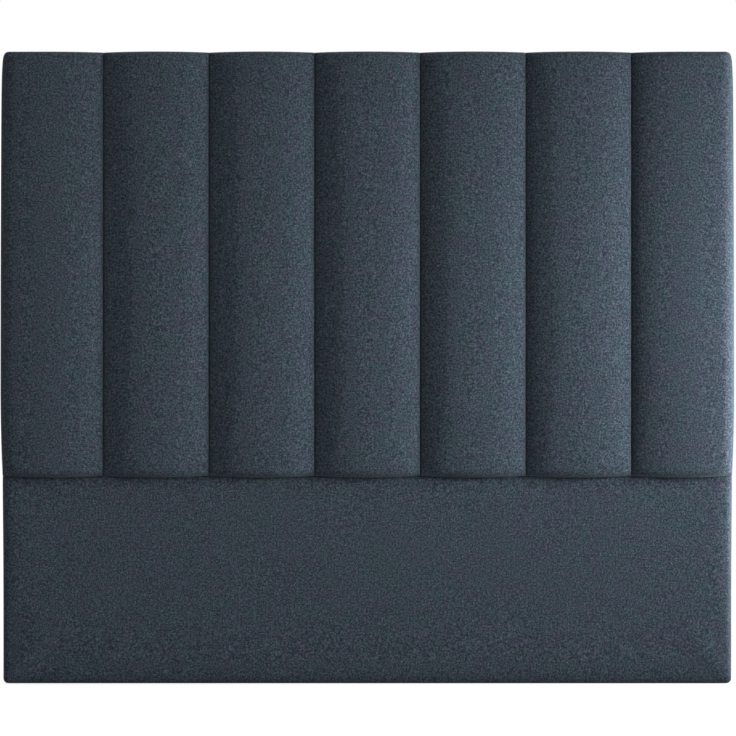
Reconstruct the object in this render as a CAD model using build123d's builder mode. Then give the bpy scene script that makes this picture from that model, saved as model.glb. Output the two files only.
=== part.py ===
from build123d import *
from math import asin, cos, degrees, radians, sin, sqrt
import os

os.makedirs("parts", exist_ok=True)

# A floor-standing upholstered headboard with seven upright channels over a plain lower panel.
# Origin: middle of the overall box, on the floor. X is the width, the front faces -Y, Z is up.

# Driving dimensions of the whole board
panel_width = 1500.0
panel_height = 1300.0
split_height = 426.0
outer_channel_width = 207.5
inner_channels = 5

# Cloth and padding
cloth = 1.2
cloth_ease = 0.3
back_cloth_thickness = 0.8
lower_foam_thickness = 22.5
side_wadding_thickness = 10.0
top_wadding_thickness = 10.0
return_width = 45.0

# Timber and boards
frame_depth = 32.0
timber_width = 45.0
middle_rail_width = 70.0
board_thickness = 4.0
corner_block_leg = 75.0
corner_block_depth = 27.0

# Dowels between the rails and the stiles
dowel_diameter = 10.0
dowel_length = 60.0
dowel_spacing = 22.0
dowel_glue_gap = 0.1
dowel_end_gap = 0.5

# Stub tenons on the studs
tenon_thickness = 12.0
tenon_length = 15.0
tenon_shoulder = 7.5
tenon_glue_gap = 0.1
tenon_end_gap = 1.0

# Channel shape, seen from above: a roll by each seam, then one long crown
seam_roll_radius = 20.0
seam_angle = 66.0
crown_angle = 21.0
side_roll_radius = 26.0

# Channel shape, seen from the front and from the side
top_scallop = 2.2
end_droop = 5.0
top_roll_radius = 14.0
end_roll_radius = 16.0
side_bulge = 5.0
side_bulge_at_top = 2.0
bulge_height = 174.0
top_corner_radius = 12.0

# Plain lower panel
lower_edge_radius = 10.0

# Screw-in threaded inserts in the lower studs
insert_side_distance = 225.0
insert_spacing_z = 150.0
insert_low_height = 150.0
insert_bore_diameter = 6.8
insert_body_diameter = 12.0
insert_flange_diameter = 17.0
insert_flange_thickness = 1.5
insert_length = 18.0
insert_fit = 0.05
pilot_hole_depth = 27.0

# Back cloth
back_cloth_margin = 14.0
back_cloth_corner = 6.0
back_cloth_hole_diameter = 24.0

# One overrun for every cut
overrun = 20.0

# Places from back to front, worked out from the sizes above
seam_pitch = (panel_width - 2 * outer_channel_width) / inner_channels
half_pitch = seam_pitch / 2
roll_centre_x = half_pitch - seam_roll_radius * sin(radians(seam_angle))
crown_join_x = roll_centre_x + seam_roll_radius * sin(radians(crown_angle))
crown_radius = crown_join_x / sin(radians(crown_angle))
roll_drop = seam_roll_radius * (cos(radians(crown_angle)) - cos(radians(seam_angle)))
crown_drop = crown_radius * (1 - cos(radians(crown_angle)))
channel_rise = roll_drop + crown_drop
lower_depth = (
    back_cloth_thickness + cloth + frame_depth + board_thickness + lower_foam_thickness + cloth_ease + cloth
)
back_face = (lower_depth + channel_rise) / 2
cover_back = back_face - back_cloth_thickness
frame_back = cover_back - cloth
frame_front = frame_back - frame_depth
board_front = frame_front - board_thickness
lower_front = back_face - lower_depth
crown_front = lower_front - channel_rise
roll_centre_y = lower_front + seam_roll_radius * cos(radians(seam_angle))

# Places across and up, worked out from the sizes above
half_width = panel_width / 2
last_seam = seam_pitch * inner_channels / 2
frame_half = half_width - cloth - cloth_ease - side_wadding_thickness
frame_bottom = cloth
frame_top = panel_height - cloth - cloth_ease - top_wadding_thickness
stile_inner = frame_half - timber_width
foam_inset = cloth + cloth_ease
upper_stud_x = half_pitch + seam_pitch
lower_stud_x = half_width - insert_side_distance
bottom_rail_top = frame_bottom + timber_width
middle_rail_low = split_height - middle_rail_width / 2
middle_rail_high = split_height + middle_rail_width / 2
top_rail_low = frame_top - timber_width
frame_middle_y = frame_front + frame_depth / 2
tenon_width = timber_width - 2 * tenon_shoulder


def write_piece(piece, name):
    piece.label = name
    export_step(piece, f"parts/{name}.step")


def seam_points(inset):
    """Right-hand half of a channel's outline from above: leg end, roll middle, roll to crown, crown top."""
    leg_x = half_pitch - inset
    radius = seam_roll_radius - inset
    end_angle = degrees(asin((leg_x - roll_centre_x) / radius))
    middle_angle = (end_angle + crown_angle) / 2

    def on_roll(angle):
        x = roll_centre_x + radius * sin(radians(angle))
        y = roll_centre_y - radius * cos(radians(angle))
        return x, y

    return on_roll(end_angle), on_roll(middle_angle), on_roll(crown_angle), (0, crown_front + inset)


def mirrored(point):
    return -point[0], point[1]


def shifted(point, distance):
    return point[0] + distance, point[1]


# Every channel is cut by one profile, seen from the side: it stands proud of the lower panel, hangs
# a little below the split, and rolls over at both ends.
def side_profile(inset, back):
    front = crown_front + inset
    step = lower_front - inset
    top = panel_height - inset
    hang = split_height - end_droop + inset
    base = split_height + inset
    top_roll = top_roll_radius - inset
    end_roll = end_roll_radius - inset
    top_start = (front, top - top_roll)
    top_end = (front + top_roll, top)
    end_start = (front + end_roll, hang)
    end_end = (front, hang + end_roll)
    with BuildSketch(Plane.YZ) as profile:
        with BuildLine():
            Line(end_end, top_start)
            RadiusArc(top_start, top_end, top_roll)
            Polyline(top_end, (back, top), (back, base), (step, base), (step, hang), end_start)
            RadiusArc(end_start, end_end, end_roll)
        make_face()
    return profile.sketch


def middle_section(inset, back):
    leg, roll, join, crown = seam_points(inset)
    with BuildSketch(Plane.XY) as section:
        with BuildLine():
            Polyline(mirrored(leg), (-leg[0], back), (leg[0], back), leg)
            ThreePointArc(leg, roll, join)
            ThreePointArc(join, crown, mirrored(join))
            ThreePointArc(mirrored(join), mirrored(roll), mirrored(leg))
        make_face()
    return section.sketch


def middle_top_waste(inset):
    """Front view of what lies above an inner channel, whose top scallops between its two seams."""
    top = panel_height - inset
    seam_top = top - top_scallop
    beyond = panel_height + overrun
    with BuildSketch(Plane.XZ) as waste:
        with BuildLine():
            ThreePointArc((-half_pitch, seam_top), (0, top), (half_pitch, seam_top))
            Polyline(
                (half_pitch, seam_top),
                (half_pitch, beyond),
                (-half_pitch, beyond),
                (-half_pitch, seam_top),
            )
        make_face()
    return waste.sketch


def hanging_end_waste(inset, left, right):
    """Front view of what lies under a channel, whose end hangs in a curve between its two sides."""
    low = split_height + inset
    below = split_height - overrun
    middle = (left + right) / 2
    with BuildSketch(Plane.XZ) as waste:
        with BuildLine():
            ThreePointArc((left, low), (middle, low - end_droop), (right, low))
            Polyline((right, low), (right, below), (left, below), (left, low))
        make_face()
    return waste.sketch


def middle_shape(inset, back):
    with BuildPart() as shape:
        extrude(middle_section(inset, back), amount=panel_height)
        extrude(side_profile(inset, back), amount=seam_pitch, both=True, mode=Mode.INTERSECT)
        extrude(middle_top_waste(inset), amount=panel_width, both=True, mode=Mode.SUBTRACT)
        end_waste = hanging_end_waste(inset, -half_pitch, half_pitch)
        extrude(end_waste, amount=panel_width, both=True, mode=Mode.SUBTRACT)
    return shape.part


# The outer channel is flat from its crown to the side of the board, where it rolls round the corner.
def outer_section(inset, back):
    leg, roll, join, crown = (shifted(mirrored(p), last_seam + half_pitch) for p in seam_points(inset))
    side = half_width + side_bulge + overrun
    with BuildSketch(Plane.XY) as section:
        with BuildLine():
            Polyline(leg, (leg[0], back), (side, back), (side, crown[1]), crown)
            TangentArc(crown, join, tangent=(-1, 0))
            ThreePointArc(join, roll, leg)
        make_face()
    return section.sketch


def arc_radius(height, sag):
    """Radius of an arc that starts upright and has leant in by the sag at the height."""
    return (height**2 + sag**2) / (2 * sag)


def lean(radius, height):
    """How far an upright arc of the radius has leant in at the height."""
    return radius - sqrt(radius**2 - height**2)


def outer_side(inset):
    """Front view of the right-hand channel: its side bulges fast above the split, then slowly fades."""
    widest_x = half_width + side_bulge
    widest_z = split_height + bulge_height
    fade_height = panel_height - top_corner_radius - widest_z
    low_radius = arc_radius(bulge_height, side_bulge)
    high_radius = arc_radius(fade_height, side_bulge - side_bulge_at_top)
    low_reach = bulge_height + overrun
    high_reach = fade_height + top_corner_radius + overrun
    widest = (widest_x - inset, widest_z)
    low = (widest_x - lean(low_radius, low_reach) - inset, widest_z - low_reach)
    high = (widest_x - lean(high_radius, high_reach) - inset, widest_z + high_reach)
    with BuildSketch(Plane.XZ) as side:
        with BuildLine():
            TangentArc(widest, low, tangent=(0, -1))
            TangentArc(widest, high, tangent=(0, 1))
            Polyline(high, (last_seam, high[1]), (last_seam, low[1]), low)
        make_face()
    return side.sketch


def outer_top_waste(inset):
    """Front view of what lies above the right-hand channel: half a scallop, a flat top, a round corner."""
    top = panel_height - inset
    seam_top = (last_seam, top - top_scallop)
    crown_top = (last_seam + half_pitch, top)
    corner = top_corner_radius - inset
    side = half_width + side_bulge_at_top - inset
    beyond_x = half_width + side_bulge + overrun
    beyond_z = panel_height + overrun
    with BuildSketch(Plane.XZ) as waste:
        with BuildLine():
            TangentArc(crown_top, seam_top, tangent=(-1, 0))
            Line(crown_top, (side - corner, top))
            RadiusArc((side - corner, top), (side, top - corner), corner)
            Polyline(
                (side, top - corner),
                (beyond_x, top - corner),
                (beyond_x, beyond_z),
                (last_seam, beyond_z),
                seam_top,
            )
        make_face()
    return waste.sketch


def outer_shape(inset, back):
    front = crown_front + inset
    with BuildPart() as shape:
        extrude(outer_section(inset, back), amount=panel_height + 2 * overrun)
        extrude(outer_side(inset), amount=panel_width, both=True, mode=Mode.INTERSECT)
        front_edges = shape.edges().filter_by_position(Axis.Y, front - cloth_ease, front + cloth_ease)
        fillet(front_edges.sort_by(Axis.X)[-2:], side_roll_radius - inset)
        extrude(side_profile(inset, back), amount=panel_width, both=True, mode=Mode.INTERSECT)
        extrude(outer_top_waste(inset), amount=panel_width, both=True, mode=Mode.SUBTRACT)
        end_waste = hanging_end_waste(inset, last_seam, half_width)
        extrude(end_waste, amount=panel_width, both=True, mode=Mode.SUBTRACT)
    return shape.part


# Channel covers: cloth pulled over the foam, down between the channels, over the top (and round the
# side, on the outer two) and folded onto the back of the frame. Each is open behind.
middle_skin = middle_shape(0, cover_back)
middle_hollow = middle_shape(cloth, board_front)
with BuildPart() as middle_cover:
    add(middle_skin)
    add(middle_hollow, mode=Mode.SUBTRACT)
    with BuildSketch(Plane.XZ.offset(-frame_back)):
        with Locations((0, split_height)):
            Rectangle(seam_pitch, panel_height, align=(Align.CENTER, Align.MIN))
        add(middle_top_waste(cloth), mode=Mode.SUBTRACT)
    extrude(amount=frame_back - board_front, mode=Mode.SUBTRACT)
    with BuildSketch(Plane.XZ.offset(-cover_back)):
        with Locations((0, panel_height - return_width)):
            Rectangle(seam_pitch, panel_height, align=(Align.CENTER, Align.MAX))
    extrude(amount=cloth, mode=Mode.SUBTRACT)

outer_skin = outer_shape(0, cover_back)
outer_hollow = outer_shape(cloth, board_front)
with BuildPart() as outer_cover:
    add(outer_skin)
    add(outer_hollow, mode=Mode.SUBTRACT)
    with BuildSketch(Plane.XZ.offset(-frame_back)):
        add(outer_side(cloth))
        add(outer_top_waste(cloth), mode=Mode.SUBTRACT)
    extrude(amount=frame_back - board_front, mode=Mode.SUBTRACT)
    with BuildSketch(Plane.XZ.offset(-cover_back)):
        with Locations((half_width - return_width, panel_height - return_width)):
            Rectangle(half_width - return_width - last_seam, panel_height, align=(Align.MAX, Align.MAX))
    extrude(amount=cloth, mode=Mode.SUBTRACT)

# Channel foams: one crowned block under each cover, glued to the upper board.
middle_foam = middle_shape(foam_inset, board_front)
outer_foam = outer_shape(foam_inset, board_front)

for index in range(inner_channels):
    across = (index - (inner_channels - 1) / 2) * seam_pitch
    number = index + 2
    with BuildPart() as channel_cover:
        with Locations((across, 0)):
            add(middle_cover.part)
    write_piece(channel_cover.part, f"channel_cover_{number}")
    with BuildPart() as channel_foam:
        with Locations((across, 0)):
            add(middle_foam)
    write_piece(channel_foam.part, f"channel_foam_{number}")

for piece, kind in ((outer_cover.part, "cover"), (outer_foam, "foam")):
    with BuildPart() as right_piece:
        add(piece)
    write_piece(right_piece.part, f"channel_{kind}_{inner_channels + 2}")
    with BuildPart() as left_piece:
        add(piece)
        mirror(about=Plane.YZ, mode=Mode.REPLACE)
    write_piece(left_piece.part, f"channel_{kind}_1")


# Plain lower panel: a flat foam under one cover that wraps the sides and the bottom edge.
def lower_block(inset, back, top):
    radius = lower_edge_radius - inset
    with BuildPart() as block:
        with BuildSketch(Plane.XZ.offset(-back)):
            with Locations((0, inset)):
                Rectangle(panel_width - 2 * inset, top - inset, align=(Align.CENTER, Align.MIN))
        extrude(amount=back - lower_front - inset)
        corners = block.edges().filter_by(Axis.Y).group_by(Axis.Z)[0]
        front = block.faces().sort_by(Axis.Y)[0].edges().sort_by(Axis.Z)[:-1]
        fillet(corners + front, radius)
    return block.part


lower_skin = lower_block(0, cover_back, split_height)
lower_hollow = lower_block(cloth, board_front, split_height - cloth)
with BuildPart() as lower_cover:
    add(lower_skin)
    add(lower_hollow, mode=Mode.SUBTRACT)
    with BuildSketch(Plane.XZ.offset(-frame_back)) as frame_space:
        with Locations((0, cloth)):
            Rectangle(panel_width - 2 * cloth, panel_height, align=(Align.CENTER, Align.MIN))
        fillet(frame_space.vertices().group_by(Axis.Y)[0], lower_edge_radius - cloth)
    extrude(amount=frame_back - board_front, mode=Mode.SUBTRACT)
    with BuildSketch(Plane.XZ.offset(-cover_back)):
        with Locations((0, return_width)):
            Rectangle(panel_width - 2 * return_width, panel_height, align=(Align.CENTER, Align.MIN))
    extrude(amount=cloth, mode=Mode.SUBTRACT)
write_piece(lower_cover.part, "lower_cover")
write_piece(lower_block(foam_inset, board_front, split_height - cloth), "lower_foam")

# Side wadding: strips down the outside of the stiles, the upper pair bulging with the channels.
with BuildPart() as upper_side_wadding:
    with BuildSketch(Plane.XZ.offset(-frame_back)):
        add(outer_side(foam_inset))
        with Locations((frame_half, split_height)):
            Rectangle(
                panel_width,
                frame_top - split_height,
                align=(Align.MIN, Align.MIN),
                mode=Mode.INTERSECT,
            )
    extrude(amount=frame_back - board_front)
with BuildPart() as lower_side_wadding:
    with BuildSketch(Plane.XZ.offset(-frame_back)) as strip:
        with Locations((frame_half, foam_inset)):
            Rectangle(side_wadding_thickness, split_height - foam_inset, align=(Align.MIN, Align.MIN))
        fillet(strip.vertices().group_by(Axis.Y)[0].sort_by(Axis.X)[-1], lower_edge_radius - foam_inset)
    extrude(amount=frame_back - board_front)
for piece, level in ((upper_side_wadding.part, "upper"), (lower_side_wadding.part, "lower")):
    with BuildPart() as left_strip:
        add(piece)
        mirror(about=Plane.YZ, mode=Mode.REPLACE)
    write_piece(left_strip.part, f"{level}_side_wadding_left")
    write_piece(piece, f"{level}_side_wadding_right")

# Top wadding: one strip along the top rail, shaped into the scallops of the covers over it.
with BuildPart() as top_wadding:
    with BuildSketch(Plane.XZ.offset(-frame_back)) as strip:
        add(outer_side(foam_inset))
        add(mirror(outer_side(foam_inset), about=Plane.YZ, mode=Mode.PRIVATE))
        with Locations((0, split_height)):
            Rectangle(2 * last_seam, panel_height, align=(Align.CENTER, Align.MIN))
        with Locations((0, frame_top)):
            Rectangle(
                2 * panel_width,
                top_wadding_thickness,
                align=(Align.CENTER, Align.MIN),
                mode=Mode.INTERSECT,
            )
        with GridLocations(seam_pitch, 0, inner_channels, 1):
            add(middle_top_waste(foam_inset), mode=Mode.SUBTRACT)
        add(outer_top_waste(foam_inset), mode=Mode.SUBTRACT)
        left_waste = mirror(outer_top_waste(foam_inset), about=Plane.YZ, mode=Mode.PRIVATE)
        add(left_waste, mode=Mode.SUBTRACT)
    extrude(amount=frame_back - board_front)
write_piece(top_wadding.part, "top_wadding")

# Frame joints: each rail meets a stile on a pair of dowels, and each stud a rail on a stub tenon.
rail_centres = (
    frame_bottom + timber_width / 2,
    split_height,
    frame_top - timber_width / 2,
)
rail_joints = [
    (side * stile_inner, frame_middle_y, centre + offset_z)
    for side in (-1, 1)
    for centre in rail_centres
    for offset_z in (-dowel_spacing / 2, dowel_spacing / 2)
]
stud_joints = [
    (side * stud_x, frame_middle_y, end)
    for side in (-1, 1)
    for stud_x, end in (
        (upper_stud_x, middle_rail_high),
        (upper_stud_x, top_rail_low),
        (lower_stud_x, bottom_rail_top),
        (lower_stud_x, middle_rail_low),
    )
]


def planed_length(low_x, high_x, low_z, high_z):
    """A plain planed length of the frame's timber, as thick as the frame is deep."""
    with BuildPart() as length:
        with Locations((low_x, frame_front, low_z)):
            Box(high_x - low_x, frame_depth, high_z - low_z, align=(Align.MIN, Align.MIN, Align.MIN))
    return length.part


def stile_or_rail(low_x, high_x, low_z, high_z):
    """A length with the dowel holes and mortises that fall on it."""
    with BuildPart() as bored:
        add(planed_length(low_x, high_x, low_z, high_z))
        with Locations(*rail_joints):
            Cylinder(
                dowel_diameter / 2 + dowel_glue_gap,
                dowel_length + 2 * dowel_end_gap,
                rotation=(0, 90, 0),
                mode=Mode.SUBTRACT,
            )
        with Locations(*stud_joints):
            Box(
                tenon_width + 2 * tenon_glue_gap,
                tenon_thickness + 2 * tenon_glue_gap,
                2 * (tenon_length + tenon_end_gap),
                mode=Mode.SUBTRACT,
            )
    return bored.part


def stud(middle_x, low_z, high_z):
    """An upright between two rails, with a stub tenon at each end."""
    with BuildPart() as upright:
        add(planed_length(middle_x - timber_width / 2, middle_x + timber_width / 2, low_z, high_z))
        with Locations((middle_x, frame_middle_y, low_z), (middle_x, frame_middle_y, high_z)):
            Box(tenon_width, tenon_thickness, 2 * tenon_length)
    return upright.part


write_piece(stile_or_rail(-frame_half, -stile_inner, frame_bottom, frame_top), "left_stile")
write_piece(stile_or_rail(stile_inner, frame_half, frame_bottom, frame_top), "right_stile")
write_piece(stile_or_rail(-stile_inner, stile_inner, frame_bottom, bottom_rail_top), "bottom_rail")
write_piece(stile_or_rail(-stile_inner, stile_inner, middle_rail_low, middle_rail_high), "middle_rail")
write_piece(stile_or_rail(-stile_inner, stile_inner, top_rail_low, frame_top), "top_rail")
for side, name in ((-1, "left"), (1, "right")):
    write_piece(stud(side * upper_stud_x, middle_rail_high, top_rail_low), f"upper_stud_{name}")

# Lower studs, each bored from behind for two threaded inserts with room for the bolt's end.
insert_centre_height = insert_low_height + insert_spacing_z / 2
for side, name in ((-1, "left"), (1, "right")):
    with BuildPart() as lower_stud:
        add(stud(side * lower_stud_x, bottom_rail_top, middle_rail_low))
        for diameter, depth in (
            (insert_flange_diameter + 2 * insert_fit, insert_flange_thickness),
            (insert_body_diameter + 2 * insert_fit, pilot_hole_depth),
        ):
            with BuildSketch(Plane.XZ.offset(-frame_back)):
                with Locations((side * lower_stud_x, insert_centre_height)):
                    with GridLocations(0, insert_spacing_z, 1, 2):
                        Circle(diameter / 2)
            extrude(amount=depth, mode=Mode.SUBTRACT)
    write_piece(lower_stud.part, f"lower_stud_{name}")

with BuildPart() as fixing_inserts:
    for diameter, depth, mode in (
        (insert_body_diameter, insert_length, Mode.ADD),
        (insert_flange_diameter, insert_flange_thickness, Mode.ADD),
        (insert_bore_diameter, insert_length, Mode.SUBTRACT),
    ):
        with BuildSketch(Plane.XZ.offset(-frame_back)):
            with Locations((0, insert_centre_height)):
                with GridLocations(2 * lower_stud_x, insert_spacing_z, 2, 2):
                    Circle(diameter / 2)
        extrude(amount=depth, mode=mode)
write_piece(fixing_inserts.part, "fixing_inserts")

with BuildPart() as frame_dowels:
    with Locations(*rail_joints):
        Cylinder(dowel_diameter / 2, dowel_length, rotation=(0, 90, 0))
write_piece(frame_dowels.part, "frame_dowels")

# Corner blocks: glued into the frame's four inner corners, flush with its front.
with BuildPart() as corner_blocks:
    with BuildSketch(Plane.XZ.offset(-frame_front - corner_block_depth)):
        for corner_z, up in ((bottom_rail_top, 1), (top_rail_low, -1)):
            with BuildLine():
                Polyline(
                    (stile_inner, corner_z),
                    (stile_inner - corner_block_leg, corner_z),
                    (stile_inner, corner_z + up * corner_block_leg),
                    close=True,
                )
            make_face()
    extrude(amount=corner_block_depth)
    mirror(about=Plane.YZ)
write_piece(corner_blocks.part, "corner_blocks")

# Facing boards on the front of the frame, meeting on the middle rail.
for low, high, name in ((frame_bottom, split_height, "lower"), (split_height, frame_top, "upper")):
    with BuildPart() as board:
        with BuildSketch(Plane.XZ.offset(-frame_front)):
            with Locations((0, low)):
                Rectangle(2 * frame_half, high - low, align=(Align.CENTER, Align.MIN))
        extrude(amount=board_thickness)
    write_piece(board.part, f"{name}_board")

# Back cloth: closes the back over the folded edges of the covers, open at each insert.
with BuildPart() as back_cloth:
    with BuildSketch(Plane.XZ.offset(-back_face)):
        with Locations((0, panel_height / 2)):
            RectangleRounded(
                panel_width - 2 * back_cloth_margin,
                panel_height - 2 * back_cloth_margin,
                back_cloth_corner,
            )
        with Locations((0, insert_centre_height)):
            with GridLocations(2 * lower_stud_x, insert_spacing_z, 2, 2):
                Circle(back_cloth_hole_diameter / 2, mode=Mode.SUBTRACT)
    extrude(amount=back_cloth_thickness)
write_piece(back_cloth.part, "back_cloth")
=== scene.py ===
from math import asin, cos, exp, hypot, pi, radians, sin

import bpy
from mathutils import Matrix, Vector, noise


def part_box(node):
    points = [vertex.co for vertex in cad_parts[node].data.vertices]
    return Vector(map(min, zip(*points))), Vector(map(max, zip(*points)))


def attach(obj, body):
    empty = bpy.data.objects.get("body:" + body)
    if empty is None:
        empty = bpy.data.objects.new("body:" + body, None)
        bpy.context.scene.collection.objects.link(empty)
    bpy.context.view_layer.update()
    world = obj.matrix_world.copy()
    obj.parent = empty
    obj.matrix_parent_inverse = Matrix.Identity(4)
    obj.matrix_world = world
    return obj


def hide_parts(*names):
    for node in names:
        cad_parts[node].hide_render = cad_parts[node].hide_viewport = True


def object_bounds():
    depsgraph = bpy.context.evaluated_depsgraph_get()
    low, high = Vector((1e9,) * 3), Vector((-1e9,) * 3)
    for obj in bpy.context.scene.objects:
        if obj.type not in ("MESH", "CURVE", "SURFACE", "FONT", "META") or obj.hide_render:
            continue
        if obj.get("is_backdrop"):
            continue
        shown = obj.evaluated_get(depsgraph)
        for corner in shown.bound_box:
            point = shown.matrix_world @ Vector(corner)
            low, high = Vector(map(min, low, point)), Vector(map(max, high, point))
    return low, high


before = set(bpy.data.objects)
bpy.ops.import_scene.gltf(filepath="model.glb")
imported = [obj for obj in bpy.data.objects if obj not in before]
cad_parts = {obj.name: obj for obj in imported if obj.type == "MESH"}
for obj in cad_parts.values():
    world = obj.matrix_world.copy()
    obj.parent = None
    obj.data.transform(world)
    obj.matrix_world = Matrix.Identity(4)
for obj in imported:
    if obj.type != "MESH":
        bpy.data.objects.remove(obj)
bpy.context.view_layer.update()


# The cover cloth: a thick plain weave of slate-blue wool-like yarn, dyed in the fibre, so that single
# crossings are lighter or darker than the next. The channels and the plain panel are cut from it.
YARN_PITCH = 0.0013
SPECK_SIZE = 0.0033
FLECK_RARITY = 1.5
SLUB_LENGTH = 0.022
SLUB_WIDTH = YARN_PITCH * 2
TINT_PATCH = 0.028
FACES_ASIDE = 0.72
SPECK_SPREAD = (0.34, 0.70)
SLUB_SPREAD = (0.7, 1.3)
SLUB_LIGHT = (0.84, 1.16)
TINT_SPREAD = (0.38, 0.62)
# How far the weave darkens the colour where the yarns dip and lightens it on their crowns: painted shade and
# painted highlight.
WEAVE_PAINTED_SHADE = (0.76, 1.16)
SPECK_RELIEF = 0.5
WEAVE_RELIEF = 0.0006
DARK_TEAL = (0.0130, 0.0275, 0.0375, 1)
DARK_VIOLET = (0.0175, 0.0240, 0.0395, 1)
LIGHT_TEAL = (0.1190, 0.1620, 0.1910, 1)
LIGHT_VIOLET = (0.1310, 0.1520, 0.1980, 1)
CLOTH_ROUGHNESS = 0.92
CLOTH_SPECULAR = 0.25
CLOTH_SHEEN = 0.22
CLOTH_SHEEN_ROUGHNESS = 0.45
CLOTH_SHEEN_TINT = (0.75, 0.85, 1.0, 1)


def wire(tree, kind, inputs=(), **settings):
    """Adds a node to a material, sets it up and joins its inputs to other nodes' outputs."""
    node = tree.nodes.new(kind)
    for name, value in settings.items():
        setattr(node, name, value)
    for key, value in dict(inputs).items():
        if isinstance(value, bpy.types.NodeSocket):
            tree.links.new(value, node.inputs[key])
        else:
            node.inputs[key].default_value = value
    return node


def blank_material(name):
    """A new material with only its surface shader, which comes back with the tree."""
    material = bpy.data.materials.new(name)
    material.use_nodes = True
    tree = material.node_tree
    return material, tree, tree.nodes["Principled BSDF"]


def calculate(tree, operation, first, second=0.0, third=0.0):
    """The result of one sum on numbers."""
    return wire(tree, "ShaderNodeMath", {0: first, 1: second, 2: third}, operation=operation).outputs[0]


def blend_colour(tree, share, first, second, kind="MIX"):
    """One colour laid over another by a share."""
    node = wire(tree, "ShaderNodeMix", {0: share, 6: first, 7: second}, data_type="RGBA", blend_type=kind)
    return node.outputs[2]


def rescale(tree, value, seen=(0.0, 1.0), given=(0.0, 1.0)):
    """A value's range drawn out from one pair of ends to another."""
    ends = {"From Min": seen[0], "From Max": seen[1], "To Min": given[0], "To Max": given[1]}
    return wire(tree, "ShaderNodeMapRange", {"Value": value, **ends}).outputs[0]


def thread_places(tree):
    """Two distances over the cloth, along its two threads, whichever way the surface faces."""
    place = wire(tree, "ShaderNodeTexCoord")
    at = wire(tree, "ShaderNodeSeparateXYZ", {0: place.outputs["Object"]})
    facing = wire(tree, "ShaderNodeSeparateXYZ", {0: place.outputs["Normal"]})
    sideways = calculate(tree, "GREATER_THAN", calculate(tree, "ABSOLUTE", facing.outputs["X"]), FACES_ASIDE)
    upwards = calculate(tree, "GREATER_THAN", calculate(tree, "ABSOLUTE", facing.outputs["Z"]), FACES_ASIDE)
    across = wire(tree, "ShaderNodeMix", {0: sideways, 2: at.outputs["X"], 3: at.outputs["Y"]}).outputs[0]
    along = wire(tree, "ShaderNodeMix", {0: upwards, 2: at.outputs["Z"], 3: at.outputs["Y"]}).outputs[0]
    return place.outputs["Object"], across, along


def cover_cloth():
    """The slate-blue cloth."""
    material, tree, surface = blank_material("cover_cloth")
    place, across, along = thread_places(tree)
    warp = calculate(tree, "DIVIDE", across, YARN_PITCH)
    weft = calculate(tree, "DIVIDE", along, YARN_PITCH)
    warp_hump = calculate(tree, "ABSOLUTE", calculate(tree, "SINE", calculate(tree, "MULTIPLY", warp, pi)))
    weft_hump = calculate(tree, "ABSOLUTE", calculate(tree, "SINE", calculate(tree, "MULTIPLY", weft, pi)))
    crossing = calculate(tree, "ADD", calculate(tree, "FLOOR", warp), calculate(tree, "FLOOR", weft))
    over = calculate(tree, "ABSOLUTE", calculate(tree, "MODULO", crossing, 2.0))
    weave = wire(tree, "ShaderNodeMix", {0: over, 2: warp_hump, 3: weft_hump}).outputs[0]

    specks = wire(
        tree,
        "ShaderNodeTexNoise",
        {"Vector": place, "Scale": 1 / SPECK_SIZE, "Detail": 2.0, "Roughness": 0.75},
    ).outputs["Fac"]
    slubs = []
    for a, b in ((SLUB_WIDTH, SLUB_LENGTH), (SLUB_LENGTH, SLUB_WIDTH)):
        stretched = {0: calculate(tree, "DIVIDE", across, a), 1: calculate(tree, "DIVIDE", along, b)}
        spot = wire(tree, "ShaderNodeCombineXYZ", stretched).outputs[0]
        slub = wire(tree, "ShaderNodeTexNoise", {"Vector": spot, "Scale": 1.0, "Detail": 1.0})
        slubs.append(slub.outputs["Fac"])
    patch = wire(
        tree,
        "ShaderNodeTexNoise",
        {"Vector": place, "Scale": 1 / TINT_PATCH, "Detail": 2.0, "Roughness": 0.6},
    ).outputs["Fac"]

    patch = rescale(tree, patch, TINT_SPREAD)
    dark = blend_colour(tree, patch, DARK_TEAL, DARK_VIOLET)
    light = blend_colour(tree, patch, LIGHT_TEAL, LIGHT_VIOLET)
    speck = calculate(tree, "POWER", rescale(tree, specks, SPECK_SPREAD), FLECK_RARITY)
    yarn = blend_colour(tree, speck, dark, light)
    slub_light = rescale(tree, calculate(tree, "ADD", slubs[0], slubs[1]), SLUB_SPREAD, SLUB_LIGHT)
    # Painted shade between the yarns and painted highlight on their crowns, following the weave's humps.
    shaded = rescale(tree, weave, given=WEAVE_PAINTED_SHADE)
    strength = calculate(tree, "MULTIPLY", slub_light, shaded)
    grey = wire(tree, "ShaderNodeCombineColor", {0: strength, 1: strength, 2: strength}).outputs[0]
    colour = blend_colour(tree, 1.0, yarn, grey, "MULTIPLY")
    tree.links.new(colour, surface.inputs["Base Color"])

    height = calculate(tree, "MULTIPLY_ADD", specks, SPECK_RELIEF, weave)
    bump = wire(tree, "ShaderNodeBump", {"Height": height, "Strength": 0.35, "Distance": WEAVE_RELIEF})
    tree.links.new(bump.outputs[0], surface.inputs["Normal"])
    surface.inputs["Roughness"].default_value = CLOTH_ROUGHNESS
    surface.inputs["Specular IOR Level"].default_value = CLOTH_SPECULAR
    surface.inputs["Sheen Weight"].default_value = CLOTH_SHEEN
    surface.inputs["Sheen Roughness"].default_value = CLOTH_SHEEN_ROUGHNESS
    surface.inputs["Sheen Tint"].default_value = CLOTH_SHEEN_TINT
    return material


CLOTH = cover_cloth()

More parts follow.
